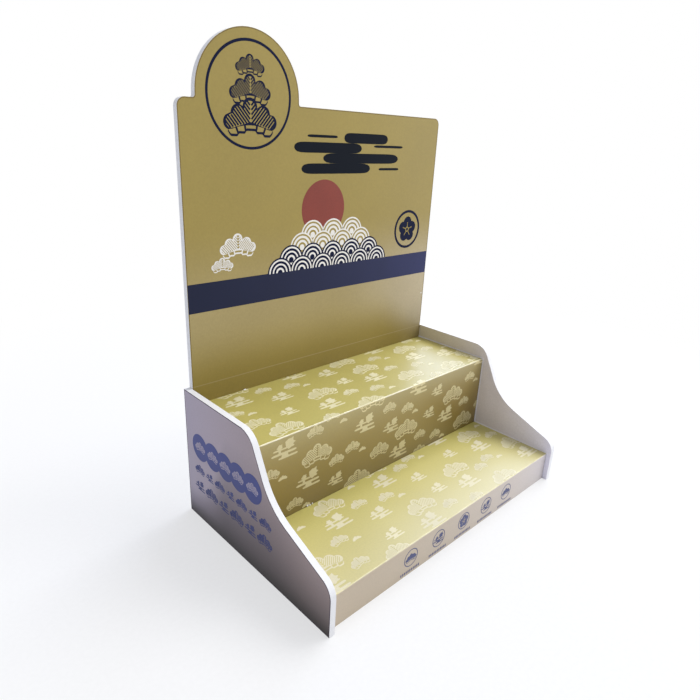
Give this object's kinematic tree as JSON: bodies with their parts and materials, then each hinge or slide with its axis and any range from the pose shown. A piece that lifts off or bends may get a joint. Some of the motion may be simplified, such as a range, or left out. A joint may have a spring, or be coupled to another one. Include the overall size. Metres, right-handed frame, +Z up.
{
  "type": "foam board display stand",
  "caption": "Stepped counter display stand of printed rigid foam board, with S-shaped side panels, folded shelves and a tall back panel with an arched header.",
  "frame": {"origin": "on the floor, in the middle of the stand's width and depth", "axes": "+Z up along the height, +Y to the back panel, +X to the right as seen from the front"},
  "size_m": [0.3, 0.1854, 0.388],
  "materials": {
    "gold_printed_board": "matte gold print on white foam board",
    "grey_printed_board": "matte lilac grey print on white foam board",
    "pine_printed_board": "satin gold print with a pale pine and mist pattern on white foam board"
  },
  "bodies": {
    "root": {"back_panel": "gold_printed_board", "left_side_panel": "grey_printed_board", "right_side_panel": "grey_printed_board", "lower_step": "pine_printed_board", "upper_step": "pine_printed_board"}
  },
  "joints": []
}
